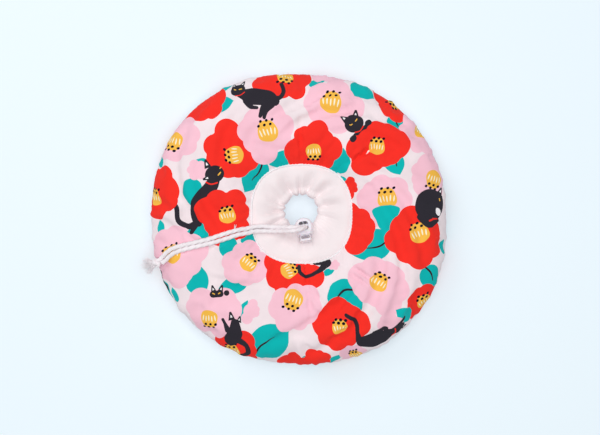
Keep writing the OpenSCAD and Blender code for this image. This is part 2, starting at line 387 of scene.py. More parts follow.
# Each tail comes out of the channel, up through the lock and over the ring to the knot.
UPPER = [(-6.7, -10.6, 25.5), (-3.2, -12.3, 25.6), (0.2, -13.2, 26.6), (2.4, -13.1, 28.9),
    (3.2, -12.4, 31.8), (3, -10.7, 37.6), (2.7, -8.8, 43.3), (1.9, -8.2, 46.6),
    (-0.6, -7.9, 49.7), (-4.4, -7.9, 51.4), (-8.6, -8, 50.6), (-12.6, -8.1, 48.2),
    (-17.4, -8.1, 44.8), (-23, -8, 42), (-30, -7.5, 41), (-37, -7, 42.4),
    (-44, -7.5, 43.4), (-50, -9.1, 45.2), (-60, -10.7, 49.3), (-74, -14.9, 52.6),
    (-88, -19.5, 53.6), (-102, -22.9, 53.4), (-116, -26.3, 51.7), (-125, -29.5, 48.9),
    (-130.5, -33.5, 46.4), (-133.5, -36.5, 44.5), (-136, -39.1, 43.4)]
LOWER = [(15.2, -7.7, 25.5), (12.4, -10.1, 25.7), (9.8, -11.9, 26.9), (8.2, -12.4, 29.2),
    (7.5, -11.8, 32), (7.1, -10, 37.6), (6.8, -8.1, 43.3), (6.4, -7.8, 46.6),
    (4.6, -8.6, 50.2), (1.4, -9.9, 53.2), (-2.8, -11.1, 54.6), (-7.4, -11.7, 53.6),
    (-12, -12, 50.8), (-17, -12.1, 47), (-23, -12.2, 43.6), (-30, -12.1, 41.8),
    (-37, -11.9, 42.6), (-44, -12.2, 43.6), (-50.5, -13.7, 45.8), (-60, -15.5, 49.6),
    (-74, -20.1, 52.6), (-88, -24.1, 53.6), (-102, -27.3, 53.4), (-116, -30.9, 51.4),
    (-123.5, -34.1, 49.2), (-128.5, -38.1, 46.8), (-131.5, -41.1, 45.2),
    (-134.5, -43.1, 44)]
knot_lo, knot_hi = cad("end_knot")
KNOT_AT = (knot_lo + knot_hi) / 2
TASSEL_WAY = np.array([-0.78, -0.28, -0.56])
CORD_D = 4.0
# The lock's cord hole, and the way from its plunger to its dome.
LOCK_AT = np.array([4.8, -8.1, 37.6])
LOCK_WAY = np.array([-0.148778, 0.939347, -0.309017])
# How far from its cord hole the lock keeps loose fibres off.
LOCK_CLEAR = 11


def hairs(path, radius, count, length, seed):
    """Short loose fibres that stand off a cord, none inside the lock."""
    rng = np.random.default_rng(seed)
    ahead, s, u = frames_along(path)
    parts = []
    for i in rng.integers(3, len(path) - 3, count):
        if np.linalg.norm(path[i] - LOCK_AT) < LOCK_CLEAR:
            continue
        a, reach = rng.uniform(0, TURN), rng.uniform(0.4, 1) * length
        out = math.cos(a) * s[i] + math.sin(a) * u[i]
        lean = rng.uniform(-1, 1) * ahead[i]
        root = path[i] + 0.85 * radius * out
        curve = [root, root + reach * (0.5 * out + 0.3 * lean), root + reach * (0.7 * out + lean)]
        parts.append(tube(curve, 0.05, 4))
    return parts


def snag(at):
    """A few fibres pulled out of the twist in one place."""
    rng = np.random.default_rng(12)
    parts = []
    for _ in range(14):
        lean = rng.uniform(-1, 1, 3) * (0.7, 0.5, 0.4)
        curve = [at, at + lean + (0.3, 2, 0.8), at + 1.6 * lean + (0.9, 4.4, 0.7)]
        parts.append(tube(smooth_curve(curve, 4), np.linspace(0.2, 0.07, 9), 4))
    return joined(parts)


def rope(name, path, **ties):
    """Three-ply twisted cotton cord with a little fuzz, squeezed thinner in the lock."""
    path = evened(path, 0.8)
    from_lock = np.linalg.norm(path - LOCK_AT, axis=1)
    radius = CORD_D / 2 * (0.86 + 0.14 * step(from_lock, 6, 12))
    parts = [tube(path, radius, sides=24, lobes=3, lay=0.27, twist=TURN / 20)]
    parts += hairs(path, CORD_D / 2, count=int(len(path) * 0.8), length=2.2, seed=len(path))
    return make(name, *joined(parts), [ROPE], slot="cord", **ties), path


def strand_knot():
    """An overhand knot of both tails, drawn up tight."""
    t = np.linspace(0, TURN, 90, endpoint=False)
    around = np.stack([np.sin(t) + 2 * np.sin(2 * t), np.cos(t) - 2 * np.cos(2 * t),
                       -1.5 * np.sin(3 * t)], -1) * 1.15
    parts = []
    for shift in (-0.8, 0.8):
        path = KNOT_AT + around * (1 + 0.08 * shift) + (0, 0, 0.5 * shift)
        parts.append(tube(path, 1.55, sides=16, lobes=3, lay=0.26, twist=TURN / 26, closed=True))
    return joined(parts)


def tassel_yarns():
    """Unravelled yarns that fan out of the knot and curl at their ends."""
    rng = np.random.default_rng(5)
    way = unit(TASSEL_WAY)
    side = unit(np.cross(way, (0, 0, 1)))
    up = np.cross(side, way)
    parts = []
    for _ in range(210):
        a, out = rng.uniform(0, TURN), math.sqrt(rng.uniform(0, 1))
        spread = (math.cos(a) * side + 0.75 * math.sin(a) * up) * out
        length = rng.uniform(9, 18) * (1 - 0.25 * out)
        t = np.linspace(0, 1, 9)[:, None]
        curl = rng.uniform(-1, 1, 3) * 1.3
        path = (KNOT_AT + 3.4 * way + spread * 2.2 + t * way * length
                + spread * 7.5 * t ** 1.3 + curl * np.sin(t * rng.uniform(3, 8)) * t)
        path[:, 2] = np.maximum(path[:, 2], 8)
        parts.append(tube(path, np.linspace(0.3, 0.09, 9), 4))
    return joined(parts)


upper, upper_path = rope("cord_upper", smooth_curve(UPPER, 8), replaces=["drawstring_tail_upper"])
lower, lower_path = rope("cord_lower", smooth_curve(LOWER, 8), replaces=["drawstring_tail_lower"])
knot = make("cord_knot", *strand_knot(), [ROPE], slot="cord", replaces=["end_knot"])
tuft = make("cord_tassel", *tassel_yarns(), [ROPE], slot="cord", replaces=["tassel"])
snag_at = upper_path[np.abs(upper_path[:, 0] + 63).argmin()] + (0, 1.2, 0.8)
pulled = make("cord_snag", *snag(snag_at), [ROPE], slot="cord")

# The cord's hidden part, round the neck hole from one end of the buttonhole to the other.
LOOP_R = 20.5
loop_turn = np.radians(np.linspace(-50, 245, 60))
loop = np.concatenate([HOLE_AT + LOOP_R * ray(loop_turn), np.full((60, 1), MID)], 1)
rope("cord_loop", loop, replaces=["drawstring_loop"])


# ---- stuffed ring: the covers' shape ----

# The stuffed section: share of the way from border to rim, and share of the half height.
PROFILE = smooth_curve([(0, 0.52), (0.05, 0.65), (0.12, 0.8), (0.22, 0.92), (0.34, 0.985),
                        (0.44, 1), (0.54, 1), (0.66, 0.965), (0.77, 0.87), (0.86, 0.71),
                        (0.93, 0.5), (0.975, 0.28), (1, 0)], 12)
# The usual way from border to rim as seen from above.
SPAN = 97.0
profile_run = np.concatenate([[0], np.cumsum(np.hypot(np.diff(PROFILE[:, 0]) * SPAN,
                                                      np.diff(PROFILE[:, 1]) * HALF))])
CLOTH_SPAN = profile_run[-1] / SPAN
profile_run /= profile_run[-1]
ROUND, ACROSS = 432, 45
# The cloth stays off the floor and inside the frame's height.
LOWEST, HIGHEST = 0.15, 2 * MID + 1.2
around = TURN * np.arange(ROUND) / ROUND
share = np.linspace(0, 1, ACROSS)
# Creases pressed into the cloth: from, to, depth and half width.
CREASES = [((1, 99), (2, 54), 2.2, 1.8), ((6, -44), (9, -68), 3, 1.5),
           ((9, -68), (12, -96), 2, 1.8), ((49, 54), (74, 71), 6, 2.4),
           ((53, -47), (75, -62), 3.6, 1.7), ((50, -53), (70, -67), 2.6, 1.6)]


def crease_depth(xy):
    """How far the creases press the cloth in at these places."""
    depth = 0
    for start, end, deep, wide in CREASES:
        start, end = np.array(start, float), np.array(end, float)
        way = end - start
        t = (xy - start) @ way / (way @ way)
        off = np.linalg.norm(xy - start - np.clip(t, 0, 1)[..., None] * way, axis=-1)
        fade = np.sin(np.pi * np.clip(t * 0.8 + 0.1, 0, 1))
        depth = depth + deep * fade * np.exp(-(off / wide) ** 2)
    return depth


def normals_of(points, flip=False):
    """Unit normals of a ring grid. flip turns them for the back cover."""
    n = np.cross((np.roll(points, -1, 0) - np.roll(points, 1, 0)), np.gradient(points, axis=1))
    n /= np.linalg.norm(n, axis=-1)[..., None] + 1e-9
    return n if flip else -n


def cover_points(side):
    """A cover as a ring grid: crowned, pinched at the rim, with soft uneven folds."""
    a, t = around[:, None], share[None, :]
    way = np.interp(t, profile_run, PROFILE[:, 0]) + 0 * a
    high = np.interp(t, profile_run, PROFILE[:, 1]) + 0 * a
    pinch = step(t, 0.94, 1) * np.clip(1.2 + 0.3 * waves(a, 26, 60, 9, 4), 0.6, 1.9)
    inner, outer = border(a[:, 0])[:, None], rim(a[:, 0])[:, None]
    out = unit(outer)
    xy = inner + (outer - inner) * way[..., None] - out * pinch[..., None]
    points = np.concatenate([xy, (MID + side * high * HALF)[..., None]], -1)
    seed = 10 if side > 0 else 30
    swell = 0.9 * waves(a, 3, 9, 5, seed) * np.sin(np.pi * t) \
        + 0.5 * waves(a + 2.2 * t, 7, 16, 6, seed + 1) * np.sin(np.pi * t)
    rim_folds = 0.75 * waves(a + 0.05 * t, 24, 64, 12, seed + 2) \
        * step(t, 0.66, 0.93) * (1 - step(t, 0.96, 1))
    edge_folds = 0.5 * waves(a, 18, 44, 10, seed + 3) \
        * (1 - step(t, 0.02, 0.3)) * step(t, 0, 0.04)
    puckers = 0.3 * waves(a + 0.02 * t, 70, 140, 12, 7) \
        * step(t, 0.82, 0.95) * (1 - step(t, 0.975, 1))
    push = swell + rim_folds + edge_folds + puckers
    points = points + normals_of(points, side < 0) * push[..., None]
    points[..., 2] = np.clip(points[..., 2], LOWEST, HIGHEST)
    points[:, -1, 2] = MID
    return points


front_points, back_points = cover_points(1), cover_points(-1)
# The filling keeps to the covers' shape from before they wrinkle.
filled_points = front_points.copy(), back_points.copy()


def sampled(values, turn, across):
    """Bicubic sample of a ring grid at turns in radians and shares across."""
    rows, columns = values.shape[:2]
    u = (turn % TURN) / TURN * rows
    v = np.clip(across, 0, 1) * (columns - 1)
    i, j = np.floor(u).astype(int), np.minimum(np.floor(v).astype(int), columns - 2)

    def weights(t):
        return [-0.5 * t + t ** 2 - 0.5 * t ** 3, 1 - 2.5 * t ** 2 + 1.5 * t ** 3,
                0.5 * t + 2 * t ** 2 - 1.5 * t ** 3, -0.5 * t ** 2 + 0.5 * t ** 3]
    total = 0
    for k, wu in enumerate(weights(u - i)):
        for m, wv in enumerate(weights(v - j)):
            at = values[(i + k - 1) % rows, np.clip(j + m - 1, 0, columns - 1)]
            total = total + (wu * wv)[..., None] * at
    return total


# Folds are kept that repeat between about FEWEST and MOST times round the ring.
FEWEST, MOST = 11, 75
FOLD_CAP = 2.0
SIM_FRAMES = 20
# The rows of cloth along the sleeve: share of the way to the border, and height.
UNDER = [(0.2, 5), (0.45, 10), (0.75, 14.3)]


def folds_only(shift):
    """A shift round the ring without its slow part, which would change the outline."""
    turns = np.fft.rfftfreq(len(shift), 1 / len(shift))
    keep = (1 - np.exp(-(turns / FEWEST) ** 2)) * np.exp(-(turns / MOST) ** 2)
    return np.fft.irfft(np.fft.rfft(shift, axis=0) * keep[:, None, None], len(shift), axis=0)


def blown_up(front, back):
    """How pressure inside the sewn tube, and its tight rim seam, wrinkle the cloth."""
    grids = [g[::2, ::2] for g in (front, back)]
    turns = around[::2, None]
    under = []
    for s, high, side in [(*row, -1) for row in UNDER[::-1]] + [(*row, 1) for row in UNDER]:
        xy = (HOLE_AT + HOLE_R * ray(turns)) * (1 - s) + border(turns) * s
        under.append(np.concatenate([xy, (MID + side * high + 0 * turns)[..., None]], -1))
    ring = np.concatenate([grids[0], grids[1][:, -2::-1], *under], 1)
    rows, columns = ring.shape[:2]
    half = grids[0].shape[1]
    mesh = bpy.data.meshes.new("tube")
    mesh.from_pydata((ring.reshape(-1, 3) * MM).tolist(), [],
                     grid_faces(rows, columns, True, True, True).tolist())
    cloth = bpy.data.objects.new("tube", mesh)
    scene.collection.objects.link(cloth)
    # The sleeve's side is pinned, and the rim's rows are sewn a little tighter.
    held, tight = cloth.vertex_groups.new(name="held"), cloth.vertex_groups.new(name="tight")
    rim_column, back_border = half - 1, 2 * half - 2
    for j in range(columns):
        index = list(range(j, rows * columns, columns))
        held.add(index, 1.0 if j == 0 or j >= back_border else 0.0, "REPLACE")
        tight.add(index, max(0.0, 1 - abs(j - rim_column) / 3), "REPLACE")
    sim = cloth.modifiers.new("cloth", "CLOTH")
    settings = {"quality": 5, "mass": 0.12, "tension_stiffness": 22, "compression_stiffness": 22,
                "bending_stiffness": 0.12, "use_pressure": True, "uniform_pressure_force": 4,
                "vertex_group_mass": "held", "vertex_group_shrink": "tight",
                "shrink_min": -0.03, "shrink_max": 0.12}
    for key, value in settings.items():
        setattr(sim.settings, key, value)
    sim.settings.effector_weights.gravity = 0
    sim.point_cache.frame_start, sim.point_cache.frame_end = 1, SIM_FRAMES
    for k in range(1, SIM_FRAMES + 1):
        scene.frame_set(k)
    ready = cloth.evaluated_get(bpy.context.evaluated_depsgraph_get())
    moved = np.zeros(rows * columns * 3)
    ready.data.vertices.foreach_get("co", moved)
    bpy.data.objects.remove(cloth)
    scene.frame_set(1)
    shift = folds_only(moved.reshape(rows, columns, 3) / MM - ring)
    size = np.linalg.norm(shift, axis=-1)[..., None]
    shift *= FOLD_CAP / np.maximum(size, FOLD_CAP)
    return shift[:, :half], shift[:, rim_column:back_border + 1][:, ::-1]


turns, shares = np.meshgrid(around, share, indexing="ij")
for grid, shift in zip((front_points, back_points), blown_up(front_points, back_points)):
    grid += sampled(shift, turns, shares) * (1 - 0.9 * step(shares, 0.88, 1))[..., None]
    grid[..., 2] = np.clip(grid[..., 2], LOWEST, HIGHEST)
rim_row = (front_points[:, -1] + back_points[:, -1]) / 2
front_points[:, -1] = back_points[:, -1] = rim_row
front_points -= normals_of(front_points) * crease_depth(front_points[..., :2])[..., None]


def unrolled(p, reach):
    """(turn, share of the way to the rim) of flat points. reach stretches that way."""
    a = np.arctan2(*(p - BORDER_AT).T[::-1])
    for _ in range(12):
        b, r = border(a), rim(a)
        way = unit(r - b)
        off = p - b
        run = np.sum(off * way, -1)
        miss = way[..., 0] * off[..., 1] - way[..., 1] * off[..., 0]
        # The border lies about 50 mm from the middle.
        a = a + miss / (np.abs(run) + 50)
    return a, run / (np.linalg.norm(r - b, axis=-1) * reach)


def flat_point(a, across):
    """Where a point of the cover lies when its cloth is spread flat."""
    b, r = border(a), rim(a)
    return b + (r - b) * (across * CLOTH_SPAN)[..., None]


def laid(points):
    """Flat cloth points for places seen from above."""
    p = np.array(points, float).reshape(-1, 2)
    eye = np.array(camera.location)[:2] / MM
    a, way = unrolled(p, 1.0)
    for _ in range(3):
        high = np.interp(np.clip(way, 0, 1), PROFILE[:, 0], PROFILE[:, 1]) * HALF
        a, way = unrolled(eye + (p - eye) * ((CAMERA_UP - high) / CAMERA_UP)[:, None], 1.0)
    across = np.interp(np.clip(way, 0, 0.99), PROFILE[:, 0], profile_run)
    return flat_point(a, across)


# ---- the printed pattern, drawn on the flat cloth ----

drawn = []


def draw(outline, ink):
    """Keeps a shape for both covers. Later shapes cover earlier ones."""
    drawn.append((np.asarray(outline, float), ink))


def turned(points, degrees):
    """Flat points turned about the origin."""
    a = math.radians(degrees)
    return np.asarray(points, float) @ [[math.cos(a), math.sin(a)], [-math.sin(a), math.cos(a)]]


def ellipse(at, wide, high, degrees=0, sides=20):
    a = TURN * np.arange(sides) / sides
    return at + turned(np.stack([wide * np.cos(a), high * np.sin(a)], -1), degrees)


def stroke(points):
    """A brush stroke through (x, y, width) points with round ends."""
    p = smooth_curve(points, 5)
    way = unit(np.gradient(p[:, :2], axis=0))
    side = np.stack([-way[:, 1], way[:, 0]], -1)
    half = (p[:, 2] / 2)[:, None]
    caps = []
    for k, sign in ((-1, 1), (0, -1)):
        a = np.linspace(0, math.pi, 7)[1:-1, None]
        caps.append(p[k, :2] + half[k] * sign * (np.cos(a) * side[k] + np.sin(a) * way[k]))
    return np.concatenate([p[:, :2] + half * side, caps[0], (p[:, :2] - half * side)[::-1], caps[1]])


def put_stroke(at, line, degrees=0):
    line = np.array(line, float)
    line[:, :2] = turned(line[:, :2], degrees)
    return at + stroke(line)


def flower(x, y, ink, petals, heart=None):
    """Rounded petals given as (degrees, reach), and a heart as (dx, dy, degrees, size)."""
    at = laid((x, y))[0]
    a = TURN * np.arange(90) / 90
    reach = np.full(90, 0.72 * np.mean([r for _, r in petals]))
    for degrees, r in petals:
        lean = a - math.radians(degrees)
        chord = (0.42 ** 2 - (0.58 * np.sin(lean)) ** 2).clip(0)
        petal = r * (0.58 * np.cos(lean) + np.sqrt(chord))
        reach = np.maximum(reach, np.where(chord > 0, petal, 0))
    draw(at + reach[:, None] * ray(a), ink)
    if heart:
        dx, dy, degrees, size = heart
        stamens(at + (dx, dy), degrees - 90, size)


def stamens(at, degrees, size):
    """A yellow bell with pale strokes, and dark dots along its narrow end."""
    def put(points):
        return at + size * turned(points, degrees)
    bell = smooth_curve([(-0.32, 0.42), (0, 0.5), (0.32, 0.42), (0.48, 0), (0.42, -0.34),
                         (0.12, -0.5), (-0.16, -0.48), (-0.44, -0.3), (-0.48, 0.02)], 4, True)
    draw(put(bell), YELLOW)
    for k in range(5):
        x = -0.34 + 0.17 * k
        draw(ellipse(put((x, -0.05 + 0.04 * (k % 2))), 0.035 * size, 0.17 * size,
                     degrees - x * 30, 10), CREAM)
    for k in range(6):
        x = -0.37 + 0.148 * k
        draw(ellipse(put((x, 0.3 + 0.19 * (k % 2))), 1.6, 1.3, degrees + 30, 12), INK)


def leaf(x, y, degrees, length, width, rib=False, base=0.2):
    """A leaf whose tip points along degrees. base is how blunt the other end is."""
    at = laid((x, y))[0]
    half = np.array([(-0.5, 0.3 * base), (-0.36, 0.32 + base * 0.4), (-0.05, 0.5),
                     (0.25, 0.36), (0.5, 0)])
    outline = np.concatenate([half, half[::-1][1:] * (1, -1)])
    edge = np.concatenate([smooth_curve(outline[:5], 4), smooth_curve(outline[4:], 4)[1:]])
    draw(at + turned(edge * (length, width), degrees), TEAL)
    if rib:
        line = [(-0.46 * length, 0, 1.8), (-0.2 * length, 0.1 * width, 1.8),
                (0.12 * length, 0.02 * width, 0.9)]
        draw(put_stroke(at, line, degrees), RIB)


def creature(x, y, strokes, spots=(), ears=(), marks=(), details=()):
    """A plain dark animal shape out of strokes, round spots and ears."""
    at = laid((x, y))[0]
    for line in strokes:
        draw(put_stroke(at, line), BLACK)
    for sx, sy, wide, high, degrees in spots:
        draw(ellipse(at + (sx, sy), wide, high, degrees, 28), BLACK)
    for share, ink in (1, BLACK), (0.32, WHITE):
        for ex, ey, degrees, size in ears:
            draw(ear(at + (ex, ey), degrees, share * size), ink)
    for lines, ink in (marks, RED), (details, YELLOW):
        for line in lines:
            draw(put_stroke(at, line), ink)


def ear(at, degrees, size):
    return at + turned(np.array([(-0.45, -0.5), (0.45, -0.5), (0.12, 0.6), (-0.12, 0.6)]) * size,
                       degrees)


# Leaves as (x, y, degrees, length, width, rib), where (x, y) is seen from above.
LEAVES = [(-77, 115, 10, 25, 18), (-75, 129, 35, 24, 12), (-19, 59, 205, 24, 17),
    (-45, 43, 240, 38, 26, True), (-107, 27, 262, 28, 19), (-96, 57, 160, 14, 8),
    (-137, 58, 60, 14, 7), (20, 138, 25, 20, 13), (63, 127, -25, 27, 20),
    (42, 58, 80, 27, 18), (99, 95, -60, 24, 18, True), (96, 55, -65, 24, 20, True),
    (133, 68, -55, 14, 7), (33, 50, -50, 16, 9), (44, 37, 110, 13, 9),
    (71, -27, 200, 44, 31, True), (131, -58, -60, 28, 22, True), (144, -28, 80, 16, 8),
    (48, -79, -40, 40, 33), (-48, -19, 20, 24, 14), (-101, -12, 190, 26, 17),
    (-101, -61, 80, 30, 22), (-67, -67, 200, 32, 17), (-55, -91, 70, 21, 10),
    (-29, -122, 40, 47, 38, True), (-123, -76, 110, 16, 8), (12, -139, 10, 16, 8),
    (34, -139, 20, 16, 9), (30, -53, 15, 12, 7), (-140, -8, 100, 14, 8)]
for spec in LEAVES:
    leaf(*spec)
# A dark curl on the leaf at (48, -79).
creature(38, -80, [[(0, 0, 1.6), (4, 6, 2.2), (10, 9.5, 2.2), (17, 9.6, 2.2)]])

# The far side, from left to right.
flower(-96, 115, RED, [(20, 27), (80, 24), (150, 26), (215, 25), (275, 22), (325, 25)])
flower(-16, 140, RED, [(10, 30), (80, 30), (150, 32), (200, 33), (262, 24), (318, 28)],
    (1, 4, 265, 18))
flower(36, 146, PINK, [(0, 22), (60, 20), (120, 20), (180, 24), (240, 15), (300, 15)])
flower(-101, 49, PINK, [(0, 9), (60, 10), (120, 11), (180, 10), (240, 11), (300, 10)])
flower(-121, 80, PINK, [(12, 25), (65, 27), (118, 28), (175, 26), (225, 25), (265, 24), (325, 24)],
    (-5, -2, 255, 19))
flower(-70, 70, RED, [(95, 30), (40, 29), (168, 26), (220, 26), (266, 29), (300, 31), (335, 33)],
    (5, -6, 188, 18))
flower(-33, 86, PINK, [(130, 28), (67, 31), (24, 30), (-20, 26), (264, 32), (218, 26), (173, 29)],
    (1.5, 2, 105, 21))
creature(-45, 121, [
    [(-13, 5, 11), (-5, 2, 15), (6, 0, 17), (15, -1, 15), (20, -4, 10)],
    [(14, -5, 10), (9, -12, 6), (6, -19, 3.6)], [(17, -7, 8), (12, -13, 5), (10, -20, 3.6)],
    [(-7, -3, 9), (-3, -9, 5), (3, -11, 3.4)],
    [(19, -2, 6), (26, 0, 4.4), (29, 7, 4), (26, 15, 3.6)]],
    [(-17, 9, 7.5, 6.4, 20)], [(-22, 15, 15, 6.5), (-13, 16, -20, 6.5)],
    [[(-19, 2.5, 1.2), (-14, 3, 1.2), (-10, 6, 1.2)]],
    [[(-16, 10, 1), (-13.5, 10.6, 1)], [(-19.5, 9.5, 1), (-21, 10, 1)]])
flower(34, 114, PINK, [(136, 29), (73, 28), (25, 24), (-10, 32), (-70, 30), (170, 30), (206, 26),
    (250, 25)], (-2, 3, 82, 21))
flower(15, 72, RED, [(78, 27), (-6, 29), (133, 25), (194, 31), (220, 31), (270, 22), (305, 27),
    (35, 22)], (-0.5, -5, 275, 16))
flower(51, 33, RED, [(80, 10), (10, 8), (-30, 9), (-100, 14), (180, 7)])
flower(97, 117, RED, [(20, 26), (85, 26), (150, 28), (215, 24), (270, 24), (320, 28)],
    (0, 1, 225, 16))
flower(117, 84, PINK, [(40, 26), (100, 26), (160, 20), (215, 17), (265, 20), (320, 28)],
    (9, 7, 60, 17))
creature(56, 93, [[(3, -3, 10), (7, -9, 10), (8, -16, 10)], [(5, -5, 5), (10, -2, 5), (14, 2, 5.4)],
    [(3, -8, 6), (0, -11, 6), (-2, -13, 6.4)]],
    [(-1, 2, 9.5, 8.6, 20)], [(-11, 7, 52, 7.5), (1, 12, -4, 8)],
    [[(0, -6.5, 1.2), (5, -5, 1.2), (8, -0.5, 1.2)]],
    [[(-5.4, 1, 0.7), (-4, 0.8, 1), (-2.8, 1.8, 0.7)], [(0.2, 4, 0.7), (1.2, 5, 1), (2, 6, 0.7)]])
flower(78, 72, RED, [(90, 26), (140, 22), (184, 31), (230, 33), (262, 24), (308, 23), (5, 33),
    (45, 28), (-30, 26)], (0, 1, 85, 16))
creature(56, 93, [[(12, 2, 5), (14, 3, 5)], [(-1, -12, 5.5), (-2, -13, 6)]])

# The right side, from the far end to the near one.
flower(129, 43, PINK, [(60, 26), (100, 22), (150, 19), (195, 18), (238, 22), (300, 24), (0, 24)],
    (6, -3, 255, 18))
flower(85, 21, PINK, [(103, 24), (60, 22), (37, 27), (-5, 28), (182, 28), (150, 24), (236, 33),
    (290, 28)], (3, 0, 95, 20))
leaf(88, -1, -85, 30, 21, False, 0.8)
flower(40, -4, RED, [(0, 26), (35, 24), (-35, 27), (-70, 30), (90, 24), (180, 24)])
flower(117, -20, RED, [(100, 34), (138, 30), (184, 31), (235, 27), (284, 31), (-22, 30), (25, 28),
    (60, 30)], (3, 6, 108, 20))
creature(132, 11, [[(8, -12, 6), (-3, -17, 6), (-12, -9, 6)]], [(0, 2, 16.5, 18, 0)],
    [(11, 18, -30, 7)], [[(-3, -13, 1.6), (3, -11.5, 2), (9, -12, 1.2)]],
    [[(10, 11, 0.9), (11, 9, 0.9)]])
# Its pale chest.
draw(ellipse(laid((132, 11))[0] + (11, -3), 3, 5, 20), WHITE)
flower(80, -66, PINK, [(106, 29), (156, 33), (60, 26), (28, 28), (-18, 32), (-60, 34), (218, 24),
    (255, 22), (185, 27)], (0, 3, 62, 18))
flower(121, -83, RED, [(100, 17), (150, 14), (200, 16), (255, 22), (320, 26), (20, 26), (60, 22)],
    (6, 1, 120, 16))
leaf(106, -96, 150, 23, 17)
flower(89, -104, PINK, [(60, 12), (130, 12), (180, 12), (230, 12), (300, 14), (0, 16)])
flower(20, -139, RED, [(30, 12), (80, 10), (140, 14), (190, 14), (260, 10), (330, 12)])
flower(55, -135, PINK, [(10, 16), (60, 14), (120, 14), (170, 18), (240, 18), (300, 18)],
    (3, -3, 125, 15))
flower(42, -106, RED, [(100, 28), (40, 25), (4, 30), (70, 24), (176, 29), (140, 25), (225, 27),
    (262, 28), (300, 26), (-28, 26)], (-1, -2, 92, 15))
creature(74, -117, [
    [(-8, -5, 14), (2, -3, 17), (12, 1, 13), (20, 4, 8), (27, 7, 8)],
    [(-12, -4, 7), (-15, 5, 4.4), (-18, 16, 4.2), (-27, 22, 4)],
    [(2, 4, 7), (9, 9, 4), (14, 8, 3.4)], [(20, 5, 6), (26, 12, 4), (32, 18, 3)]],
    [(27, 7, 7, 5.6, 30)], [(34, 6, -60, 5.5)],
    [[(20, 0, 1.2), (23, 3, 1.2), (22, 8, 1.2)]])
flower(-4, -143, RED, [(0, 18), (60, 12), (120, 12), (180, 20), (240, 16), (300, 16)])

# The left side and the near side.
flower(-120, -35, PINK, [(103, 30), (62, 24), (39, 27), (12, 30), (-42, 27), (-80, 30), (262, 36),
    (215, 38), (180, 38), (150, 34)], (-8, -1, 110, 20))
creature(-100, 5, [
    [(16, 38, 11), (12, 28, 13), (2, 16, 13), (-4, 3, 12), (-2, -8, 10)],
    [(-3, -9, 7), (-12, -12, 5.5), (-20, -6, 4.4), (-22, 6, 4), (-26, 14, 3.6)],
    [(-4, -10, 6), (-8, -18, 3.6)]],
    [(15.5, 40, 9.6, 8.6, 30)], [(8, 50, 18, 8), (8, 36, 110, 7)],
    [[(7, 32, 1.4), (12, 30, 1.4), (18, 31.5, 1.4)]],
    [[(19, 39, 1), (20.4, 40.6, 1.4), (21.6, 42, 1)], [(21, 46, 0.9), (22, 47, 0.9)]])
flower(-71, 5, RED, [(128, 28), (62, 27), (10, 23), (308, 29), (282, 28), (252, 34), (222, 28),
    (170, 33)], (-0.5, -1, 100, 17))
flower(-138, 27, RED, [(82, 28), (15, 20), (-45, 23), (250, 30), (200, 34), (135, 32)],
    (-9, -4, 80, 17))
leaf(-70, -30, 290, 24, 19)
leaf(-136, -74, 300, 26, 16)
creature(-134, -64, [[(-6, 12, 2.4), (-2, 2, 3.6), (4, -6, 4.4)]])
flower(-51, -45, PINK, [(81, 25), (120, 23), (12, 24), (-28, 23), (262, 22), (211, 26), (171, 26),
    (310, 22)], (1, 1.5, 50, 17))
flower(-48, -92, PINK, [(75, 12), (15, 9), (-25, 9), (-120, 14), (160, 7)])
flower(-5, -55, RED, [(190, 29), (235, 26), (270, 20), (-45, 24), (-8, 31), (143, 34), (90, 24)],
    (-5, 4, 25, 17))
flower(35, -46, PINK, [(10, 6), (75, 6), (150, 5), (230, 6), (300, 6)])
creature(14, -50, [[(-14, 3, 3.6), (-13, -4, 3.6), (-7, -8, 3.8), (5, -3, 4.4), (14, 6, 9)],
    [(2, 7, 5), (9, 7, 6), (14, 7, 8)]])
flower(-3, -89, PINK, [(180, 28), (148, 27), (232, 27), (281, 24), (330, 24), (3, 26), (42, 28),
    (90, 24)], (-3, 8, 250, 20))
flower(-63, -129, RED, [(50, 26), (10, 22), (-40, 24), (90, 20), (160, 24), (220, 22), (280, 20)],
    (-4, -3, 100, 17))
flower(-87, -95, PINK, [(126, 30), (48, 31), (90, 24), (14, 31), (159, 28), (195, 25), (229, 27),
    (281, 28), (325, 27)], (-3, -5, 270, 18))
creature(-82, -73, [[(-4, -2, 7), (3, -2, 7)]], [(9.5, -1, 2.8, 2.8, 0)],
    [(-4, 3, 14, 6.5), (4, 3, -18, 6.5)], (),
    [[(-4.5, -1, 1), (-2.5, -2, 1)], [(3, -1, 1), (1.5, -2, 1)]])
creature(-65, -114, [[(-6, 3, 6), (-9, 10, 3), (-11, 14, 3)], [(1, 10, 9), (1, 0, 15), (-3, -7, 15)],
    [(3, -8, 7), (12, -12, 5), (13, -20, 5), (6, -25, 4.6)]],
    [], [(-2.5, 17, 8, 8), (5.5, 14, -14, 6)])


def inside(points, outline):
    """Which points lie inside a closed outline, also where it laps over itself."""
    x, y = points[:, 0], points[:, 1]
    turns = np.zeros(len(points), int)
    for (x0, y0), (x1, y1) in zip(outline, np.roll(outline, -1, 0)):
        if y0 != y1:
            crossed = ((y0 > y) != (y1 > y)) & (x < (x1 - x0) * (y - y0) / (y1 - y0) + x0)
            turns[crossed] += 1 if y1 > y0 else -1
    return turns != 0


# The back's print is the front's, mirrored and turned by this many degrees.
BACK_TURN = 70


